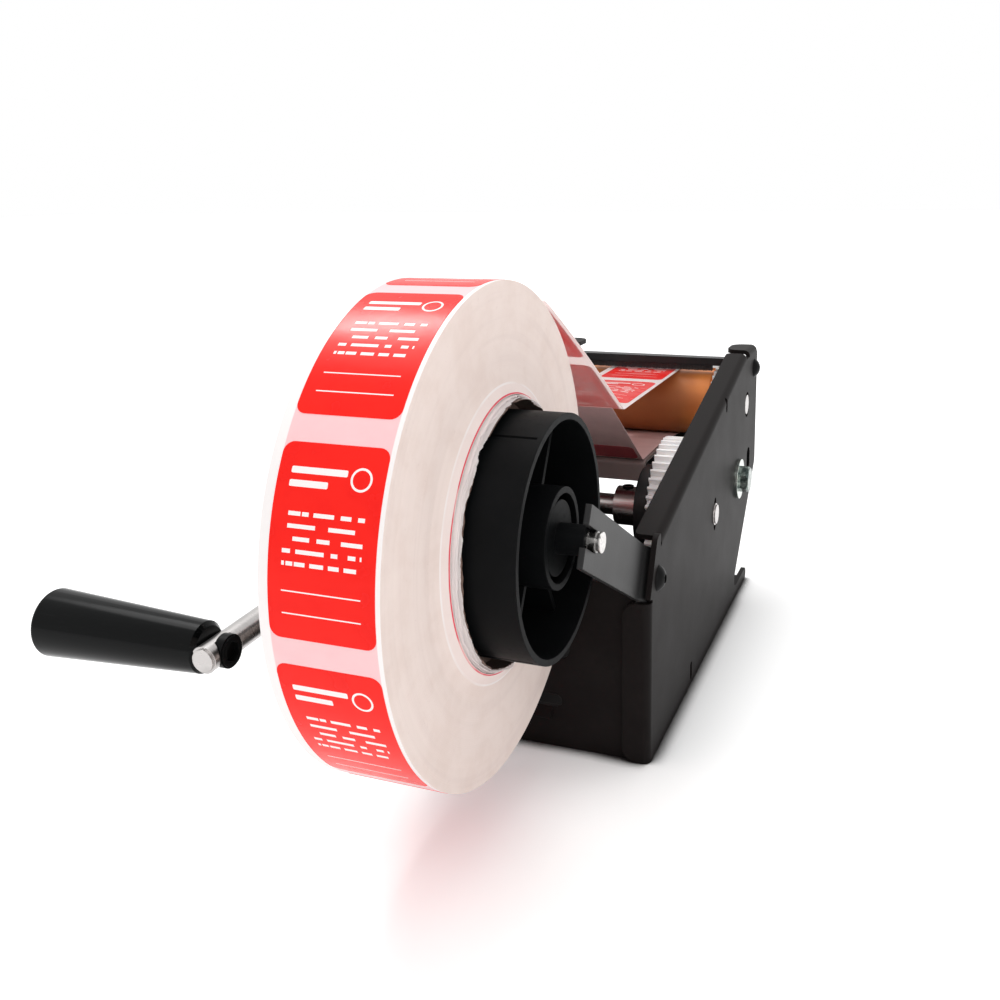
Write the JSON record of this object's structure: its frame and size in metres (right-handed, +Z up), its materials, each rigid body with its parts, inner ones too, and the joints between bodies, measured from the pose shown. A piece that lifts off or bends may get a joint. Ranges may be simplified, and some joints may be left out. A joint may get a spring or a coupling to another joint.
{
  "type": "label dispenser",
  "caption": "Hand-lever bench dispenser that feeds a roll of labels over a rubber roller to a peel edge and returns the waste liner.",
  "frame": {"origin": "middle of the chassis footprint, on the surface it stands on", "axes": "+Z up, +Y forward to the peel edge, +X to the machine's right, away from the lever"},
  "size_m": [0.2071, 0.3383, 0.175],
  "materials": {
    "black_sheet_steel": "satin black powder coat",
    "black_plastic": "moulded, slightly textured",
    "bristle": "stiff nylon bristle",
    "black_screw": "black oxide",
    "zinc_hardware": "bright zinc plate",
    "bare_steel": "ground and polished",
    "lever_steel": "bright plate",
    "dark_steel": "black oxide",
    "white_nylon": "semi-gloss nylon",
    "gum_rubber": "satin gum rubber",
    "black_rubber": "matt",
    "grip_plastic": "high gloss",
    "hub_plastic": "moulded, satin",
    "core_board": "wound board",
    "roll_paper": "wound paper edge",
    "label_face": "glossy coated label stock",
    "liner_paper": "siliconed backing paper"
  },
  "bodies": {
    "chassis": {"right_side_plate": "black_sheet_steel", "left_side_plate": "black_sheet_steel", "base_pan": "black_sheet_steel", "guide_plate": "black_sheet_steel", "peel_plate": "bare_steel", "front_bar": "black_plastic", "front_screws": "black_screw", "brush_holder": "black_plastic", "brush_bristles": "bristle", "right_roll_arm": "black_sheet_steel", "left_roll_arm": "black_sheet_steel", "arm_screws": "black_screw", "arm_nuts": "zinc_hardware", "shaft_bearings": "black_plastic", "roller_bearings": "black_plastic", "idler_bolt": "zinc_hardware", "idler_washer": "zinc_hardware", "idler_spacer": "bare_steel", "idler_nut": "zinc_hardware", "press_axle": "dark_steel", "roll_rod": "bare_steel", "return_spring": "bare_steel", "label_web": "label_face", "waste_liner": "liner_paper"},
    "lever": {"lever_shaft": "bare_steel", "shaft_collar": "bare_steel", "collar_set_screw": "black_screw", "clutch_hub": "black_plastic", "lever_hub": "bare_steel", "hub_set_screw": "black_screw", "lever_arm": "lever_steel", "grip_screw": "black_screw", "lever_grip": "grip_plastic"},
    "feed_gear": {"drive_gear": "white_nylon"},
    "idler": {"idler_gear": "white_nylon"},
    "feed_roller": {"roller_axle": "bare_steel", "roller_pinion": "white_nylon", "drive_roller": "gum_rubber"},
    "nip_roller": {"pressure_roller": "black_rubber"},
    "roll": {"roll_hub": "hub_plastic", "roll_core": "core_board", "label_roll": "roll_paper"}
  },
  "joints": [
    {"name": "lever_swing", "type": "hinge", "parent": "chassis", "child": "lever", "pos_m": [0, 0.0201, 0.0595], "axis": [-1, 0, 0], "range_deg": [0, 110], "stiffness_Nm_per_rad": 0.1, "springref_deg": -34.38},
    {"name": "drive_gear_turn", "type": "hinge", "parent": "chassis", "child": "feed_gear", "pos_m": [0.034, 0.0201, 0.0595], "axis": [-1, 0, 0], "range_deg": [0, 111]},
    {"name": "idler_turn", "type": "hinge", "parent": "chassis", "child": "idler", "pos_m": [0.038, 0.07383, 0.06105], "axis": [-1, 0, 0], "range_deg": [-153.8, 0]},
    {"name": "feed_roller_turn", "type": "hinge", "parent": "chassis", "child": "feed_roller", "pos_m": [0, 0.0956, 0.0931], "axis": [-1, 0, 0], "range_deg": [0, 212.5]},
    {"name": "nip_roller_turn", "type": "hinge", "parent": "chassis", "child": "nip_roller", "pos_m": [0, 0.1028, 0.065], "axis": [-1, 0, 0], "range_deg": [-280.5, 0]},
    {"name": "label_roll_turn", "type": "hinge", "parent": "chassis", "child": "roll", "pos_m": [0, -0.139, 0.0987], "axis": [-1, 0, 0], "range_deg": [0, 45.4]}
  ],
  "couplings": [
    {"joint": "drive_gear_turn", "follows": "lever_swing", "ratio": 1},
    {"joint": "idler_turn", "follows": "lever_swing", "ratio": -1.3889},
    {"joint": "feed_roller_turn", "follows": "lever_swing", "ratio": 1.9231},
    {"joint": "nip_roller_turn", "follows": "lever_swing", "ratio": -2.5413},
    {"joint": "label_roll_turn", "follows": "lever_swing", "ratio": 0.40327}
  ]
}
